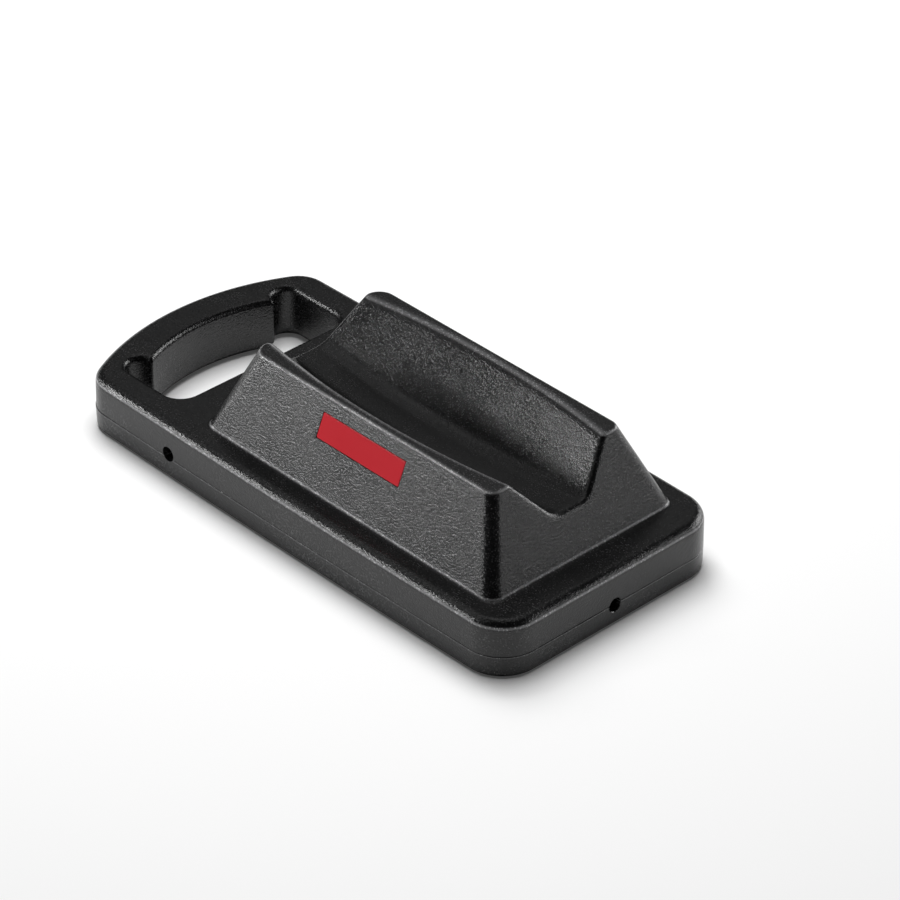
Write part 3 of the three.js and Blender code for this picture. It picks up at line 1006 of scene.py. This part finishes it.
def grain_group():
    """Moulded grain: pebbles under a millimetre wide with grit on them, in uneven patches.

    Its dots are painted glints: a lighter dot on the top of each pebble, some fainter than others.
    """
    inputs = {"Pebble": 1.0, "Grit": 0.5}
    tree, given, out = shader_group("Moulded grain", inputs, "Height", "Patch", "Speckle")
    place = given["Place"]
    pebbles = node(tree, "ShaderNodeTexVoronoi", Vector=place, Scale=PEBBLES)
    tops = minus(1.0, pebbles["Distance"])
    relief = times_plus(noise(place, LUMPS, 3, 0.6), LUMP_SHARE, tops)
    coarse = times(relief, given["Pebble"])
    height = times_plus(noise(place, GRIT, 1, 0.6), given["Grit"], coarse)
    dots = ramp(pebbles["Distance"], *GLINT_DOT_REACH)
    tone = node(tree, "ShaderNodeSeparateColor", Color=pebbles["Color"])["Red"]
    glints = times(dots, ramp(tone, *GLINT_DOT_TONES))
    give(out, Height=height, Patch=noise(place, PATCHES, 3, 0.55), Speckle=glints)
    return tree


def wear_group():
    """Handling: faint scuffs and dust, as masks from 0 to 1."""
    tree, given, out = shader_group("Handling wear", {"Amount": 0.5}, "Scuff", "Dust")
    place, amount = given["Place"], given["Amount"]
    mapping = {"Vector": place, "Scale": SCRATCH_STRETCH, "Rotation": SCRATCH_TURN}
    stretched = node(tree, "ShaderNodeMapping", **mapping)[0]
    scuff = ramp(noise(stretched, SCRATCHES, 5, 0.7), *SCUFF_RANGE)
    dust = ramp(noise(place, DUST, 1), *DUST_RANGE)
    give(out, Scuff=times(scuff, amount), Dust=times(dust, amount))
    return tree


def edge_group():
    """A painted highlight line along an edge: a mask that is 1 at a height and fades over a width either
    side.

    It is 0 in a plain block in the middle, given by its middle along X and its half sizes.
    """
    plain = dict.fromkeys(("Middle", "Plain length", "Plain width"), 0.0)
    inputs = {"Height": BASE_HEIGHT * MM, "Width": MM, "Amount": 1.0, **plain}
    tree, given, out = shader_group("Highlit edge", inputs, "Mask")
    place = node(tree, "ShaderNodeSeparateXYZ", Vector=given["Place"])
    away = unsigned(minus(place["Z"], given["Height"]))
    share = over(away, given["Width"])
    mask = times(ramp(share, 0.0, 1.0, 1.0, 0.0), given["Amount"])
    along = unsigned(minus(place["X"], given["Middle"]))
    beyond_end = minus(along, given["Plain length"])
    beyond_side = minus(unsigned(place["Y"]), given["Plain width"])
    outside = ramp(greater(beyond_end, beyond_side), 0.0, MM)
    give(out, Mask=times(mask, outside))
    return tree


def grouped(place, name, make, **inputs):
    """Adds a node group that materials share, at a place, and returns its outputs."""
    return node(place.id_data, "ShaderNodeGroup", {"node_tree": shared(name, make)}, Place=place, **inputs)


def shared(name, make):
    """The tree of that name, made the first time that it is asked for."""
    return bpy.data.node_groups.get(name) or make()


def dressing(name, make, finish):
    """The material of that name, made the first time that it is asked for."""
    return bpy.data.materials.get(name) or make(name, finish)


def bare_material(name):
    material = bpy.data.materials.new(name)
    material.use_nodes = True
    return material, material.node_tree, material.node_tree.nodes["Principled BSDF"]


def grained_material(name, pebble, grit, wear):
    """A new material's parts: itself, its shader, its place, its grain and its wear."""
    material, tree, surface = bare_material(name)
    place = node(tree, "ShaderNodeTexCoord")["Object"]
    grain = grouped(place, "Moulded grain", grain_group, Pebble=pebble, Grit=grit)
    wear = grouped(place, "Handling wear", wear_group, Amount=wear)
    return material, surface, place, grain, wear


def embossed(surface, height, distance):
    relief = node(surface.id_data, "ShaderNodeBump", Height=height, Strength=1.0, Distance=distance)
    give(surface, Normal=relief[0])


def black_polyethylene(name, finish):
    """Black moulded polyethylene: a pebbled grain whose tops carry painted glints and whose edges carry
    painted highlight lines, both lighter in colour.
    """
    material, surface, place, grain, wear = grained_material(name, 1, finish.grit, finish.wear)
    # The edge masks lay painted highlight lines: lighter base colour, and a little less roughness, along the
    # edges.
    highlit = None
    for height, width, amount, plain in HIGHLIT_EDGES:
        lengths = zip(("Height", "Width", "Middle", "Plain_length", "Plain_width"), (height, width, *plain))
        inputs = {label: size * MM for label, size in lengths}
        mask = grouped(place, "Highlit edge", edge_group, Amount=amount, **inputs)["Mask"]
        highlit = greater(highlit, mask) if highlit else mask
    highlit = times(highlit, finish.edge_highlight)
    # Painted glints: lighter dots on the grain's tops, denser in patches.
    dense = ramp(grain["Patch"], *DENSE_PATCH)
    glints = times(times(grain["Speckle"], dense), finish.glints)
    # Painted highlight lines along the edges, part glinting dots and part even lighter colour.
    painted_highlight = times(highlit, times_plus(grain["Speckle"], HIGHLIGHT_GLINTS, HIGHLIGHT_EVEN))
    # Real dust, with the painted glints added to it.
    dust_and_glints = times_plus(wear["Dust"], DUST_SHARE, glints)
    light = plus(dust_and_glints, painted_highlight, clamp=True)
    bounds = (*UNEVEN_PATCH, finish.roughness - SMOOTHER, finish.roughness + ROUGHER)
    uneven = ramp(grain["Patch"], *bounds)
    scuffed = times_plus(wear["Scuff"], SCUFF_ROUGHNESS, uneven)
    rough = times_plus(highlit, HIGHLIT_ROUGHNESS, scuffed)
    shade = tinted(light, finish.plastic, finish.dust_and_highlight_colour)
    give(surface, Base_Color=shade, Roughness=rough, IOR=PLASTIC_IOR)
    embossed(surface, grain["Height"], finish.grain_depth)
    return material


def red_print(name, finish):
    """Red printed plate, slightly glossy."""
    material, surface, _, grain, wear = grained_material(name, 0.3, 0.4, finish.wear)
    rough = times_plus(wear["Scuff"], LABEL_SCUFF_ROUGHNESS, LABEL_ROUGHNESS)
    give(surface, Base_Color=tinted(grain["Patch"], finish.label, finish.faded_label), Roughness=rough)
    embossed(surface, grain["Height"], LABEL_GRAIN * MM)
    return material


# Stage


def facing(azimuth, elevation):
    """A direction by azimuth, from the near side's middle against the clock, and elevation, in degrees."""
    a, e = math.radians(azimuth), math.radians(elevation)
    return Vector((math.sin(a) * math.cos(e), -math.cos(a) * math.cos(e), math.sin(e)))


def camera_matrix():
    """Where the camera stands and how it is turned, in metres."""
    a, r = math.radians(VIEW_AZIMUTH), math.radians(VIEW_ROLL)
    back = facing(VIEW_AZIMUTH, VIEW_ELEVATION)
    right = Vector((math.cos(a), math.sin(a), 0))
    up = back.cross(right)
    place = back * VIEW_DISTANCE + right * VIEW_RIGHT + up * VIEW_UP
    place.x += VIEW_ALONG
    rolled_right = right * math.cos(r) + up * math.sin(r)
    rolled_up = up * math.cos(r) - right * math.sin(r)
    turn = Matrix((rolled_right, rolled_up, back)).transposed().to_4x4()
    return Matrix.Translation(place * MM) @ turn


def softbox(name, lit, azimuth, elevation, width, height, brightness):
    """A softbox that faces the block and lights a collection."""
    light = bpy.data.lights.new(name, "AREA")
    light.shape = "RECTANGLE"
    light.size = width
    light.size_y = height
    light.energy = brightness * math.pi * width * height
    lamp = shown(name, light)
    way = facing(VIEW_AZIMUTH + azimuth, elevation)
    place = Vector((0, 0, BASE_HEIGHT * MM)) + way * LAMP_DISTANCE
    lamp.matrix_world = Matrix.Translation(place) @ turned(way)
    lamp.light_linking.receiver_collection = lit


def lamps(name, things, boxes, strength):
    """Softboxes that light only some things."""
    lit = bpy.data.collections.new(name)
    for thing in things:
        lit.objects.link(thing)
    for box, *where, brightness in boxes:
        softbox(box, lit, *where, brightness * strength)


def white_floor(stage):
    """A pale floor that the camera sees as white and that keeps the block's shadow."""
    mesh = bpy.data.meshes.new("Floor")
    corners = [(x * FLOOR_REACH, y * FLOOR_REACH, 0) for x, y in ((-1, -1), (1, -1), (1, 1), (-1, 1))]
    mesh.from_pydata(corners, [], [(0, 1, 2, 3)])
    floor = shown("Floor", mesh)
    material, tree, surface = bare_material("White floor")
    plain = give(surface, Base_Color=(*stage.floor, 1), Roughness=FLOOR_ROUGHNESS)[0]
    glow = node(tree, "ShaderNodeEmission", Strength=stage.floor_glow)[0]
    glowing = in_order(tree, "ShaderNodeAddShader", plain, glow)
    seen = node(tree, "ShaderNodeLightPath")["Is Camera Ray"]
    mixed = in_order(tree, "ShaderNodeMixShader", seen, plain, glowing)
    give(tree.nodes["Material Output"], Surface=mixed)
    mesh.materials.append(material)
    floor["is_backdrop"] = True
    return floor


def studio(stage):
    """Floor, softboxes, world and camera."""
    scene = bpy.context.scene
    scene.world = bpy.data.worlds.new("Studio")
    scene.world.use_nodes = True
    give(scene.world.node_tree.nodes["Background"], Color=(*stage.room, 1))
    floor = white_floor(stage)
    lamps("Lit block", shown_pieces(), BLOCK_LAMPS, stage.block_light)
    lamps("Lit floor", [floor], FLOOR_LAMPS, stage.floor_light)
    data = bpy.data.cameras.new("Camera")
    data.lens = LENS
    data.sensor_width = SENSOR
    scene.camera = shown("Camera", data)
    scene.camera.matrix_world = camera_matrix()
    scene.view_settings.view_transform = "Standard"


# Settings


def length(name, description, millimetres):
    return bpy.props.FloatProperty(
        name=name, description=description, default=millimetres * MM, min=0, precision=5, unit="LENGTH"
    )


def share(name, description, default, highest=1.0):
    return bpy.props.FloatProperty(
        name=name, description=description, default=default, min=0, max=highest, subtype="FACTOR"
    )


def colour(name, description, default):
    return bpy.props.FloatVectorProperty(
        name=name, description=description, default=default, size=3, min=0, max=1, subtype="COLOR"
    )


class BlockSizes(bpy.types.PropertyGroup):
    seam_depth: length("Seam depth", "How deep the parting line is cut", 0.35)
    seam_bevel: length("Seam bevel", "Width of the bevel round the top of the lower half", 0.16)
    handle_step: length("Handle step", "How far the lower half stands proud at the handle", 0.3)
    post_spacing: length("Post spacing", "Distance between the posts", POST_SPACING)
    post_foot_radius: length("Post foot radius", "Radius of a post at the underside", POST_FOOT_RADIUS)
    post_top_radius: length("Post top radius", "Radius of a post under the trough", POST_TOP_RADIUS)
    lip_thickness: length("Lip thickness", "Thickness of the locating lip", LIP_THICKNESS)
    lip_top: length("Lip top", "Height of the lip's top above the floor", LIP_TOP)
    post_count: bpy.props.IntProperty(
        name="Posts", description="How many posts carry the trough", default=POST_COUNT, min=1, max=5
    )


class BlockFinish(bpy.types.PropertyGroup):
    plastic: colour("Plastic", "Colour of the moulding", (0.006, 0.0061, 0.0064))
    # The lighter colour of the painted highlight lines and glints, which the dust also takes
    dust_and_highlight_colour: colour("Highlit plastic", "Colour of the moulding where it is rubbed", (0.58, 0.58, 0.59))
    label: colour("Label", "Colour of the label", (0.66, 0.02, 0.032))
    faded_label: colour("Faded label", "Colour of the label where it has faded", (0.71, 0.028, 0.042))
    grain_depth: length("Grain depth", "How deep the moulded grain is", 0.1)
    grit: share("Grit", "How strong the finest grain is", 0.35)
    # Painted glints: lighter dots on the tops of the grain
    glints: share("Speckle", "How much lighter the tops of the grain are", 0.16)
    wear: share("Scuffs and dust", "How scuffed and dusty the surfaces are", 0.5)
    # Painted highlight lines: lighter colour along the edges
    edge_highlight: share("Edge highlight", "How rubbed the edges are", 0.9)
    roughness: share("Roughness", "Roughness of the moulding", 0.22)


class StudioLook(bpy.types.PropertyGroup):
    floor: colour("Floor", "Colour of the floor", (0.85, 0.85, 0.85))
    room: colour("Room", "Colour of the light from all round", (0.02, 0.02, 0.02))
    floor_glow: share("Floor glow", "White that the floor shows to the camera", 0.05)
    block_light: share("Block light", "Strength of the block's softboxes", 1.0, 2.0)
    floor_light: share("Floor light", "Strength of the floor's softboxes", 1.0, 2.0)


# Operators


def moulded(context, make):
    """Makes a piece of the moulding, in the scene's finish and sizes."""
    material = dressing("Black polyethylene", black_polyethylene, context.scene.riser_finish)
    make(material, context.scene.riser_sizes)
    return {"FINISHED"}


class RISER_OT_upper_shell(bpy.types.Operator):
    """Makes the upper half of the moulding: plate, saddle and trough"""

    bl_idname = "riser.upper_shell"
    bl_label = "Upper shell"

    def execute(self, context):
        return moulded(context, upper_shell)


class RISER_OT_lower_shell(bpy.types.Operator):
    """Makes the lower half of the moulding: underside, lower edge and wells"""

    bl_idname = "riser.lower_shell"
    bl_label = "Lower shell"

    def execute(self, context):
        return moulded(context, lower_shell)


class RISER_OT_carrying_posts(bpy.types.Operator):
    """Makes the row of hollow posts under the trough"""

    bl_idname = "riser.carrying_posts"
    bl_label = "Carrying posts"

    def execute(self, context):
        return moulded(context, carrying_posts)


class RISER_OT_locating_lip(bpy.types.Operator):
    """Makes the lip that stands inside the wall and locates the upper half"""

    bl_idname = "riser.locating_lip"
    bl_label = "Locating lip"

    def execute(self, context):
        return moulded(context, locating_lip)


class RISER_OT_side_label(bpy.types.Operator):
    """Makes the thin label plate in the saddle's near side"""

    bl_idname = "riser.side_label"
    bl_label = "Side label"

    def execute(self, context):
        side_label(dressing("Red label print", red_print, context.scene.riser_finish))
        return {"FINISHED"}


class RISER_OT_studio(bpy.types.Operator):
    """Sets the floor, the softboxes and the camera"""

    bl_idname = "riser.studio"
    bl_label = "Studio"

    def execute(self, context):
        studio(context.scene.riser_stage)
        return {"FINISHED"}


OPERATORS = (
    RISER_OT_upper_shell,
    RISER_OT_lower_shell,
    RISER_OT_carrying_posts,
    RISER_OT_locating_lip,
    RISER_OT_side_label,
    RISER_OT_studio,
)
SETTINGS = {"riser_sizes": BlockSizes, "riser_finish": BlockFinish, "riser_stage": StudioLook}


class RISER_PT_block(bpy.types.Panel):
    """Lists the block's sizes and finishes, and what makes its pieces"""

    bl_idname = "RISER_PT_block"
    bl_label = "Riser block"
    bl_space_type = "VIEW_3D"
    bl_region_type = "UI"
    bl_category = "Riser block"

    def draw(self, context):
        for name, group in SETTINGS.items():
            box = self.layout.box()
            for setting in group.__annotations__:
                box.prop(getattr(context.scene, name), setting)
        for operator in OPERATORS:
            self.layout.operator(operator.bl_idname)


def register():
    for each in (*SETTINGS.values(), *OPERATORS, RISER_PT_block):
        bpy.utils.register_class(each)
    for name, group in SETTINGS.items():
        setattr(bpy.types.Scene, name, bpy.props.PointerProperty(type=group))


def unregister():
    for name in SETTINGS:
        delattr(bpy.types.Scene, name)
    for each in (RISER_PT_block, *reversed(OPERATORS), *reversed(SETTINGS.values())):
        bpy.utils.unregister_class(each)


def main():
    register()
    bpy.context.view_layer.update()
    bpy.ops.riser.upper_shell()
    bpy.ops.riser.lower_shell()
    bpy.ops.riser.carrying_posts()
    bpy.ops.riser.locating_lip()
    bpy.ops.riser.side_label()
    bpy.ops.riser.studio()


if __name__ == "__main__":
    main()
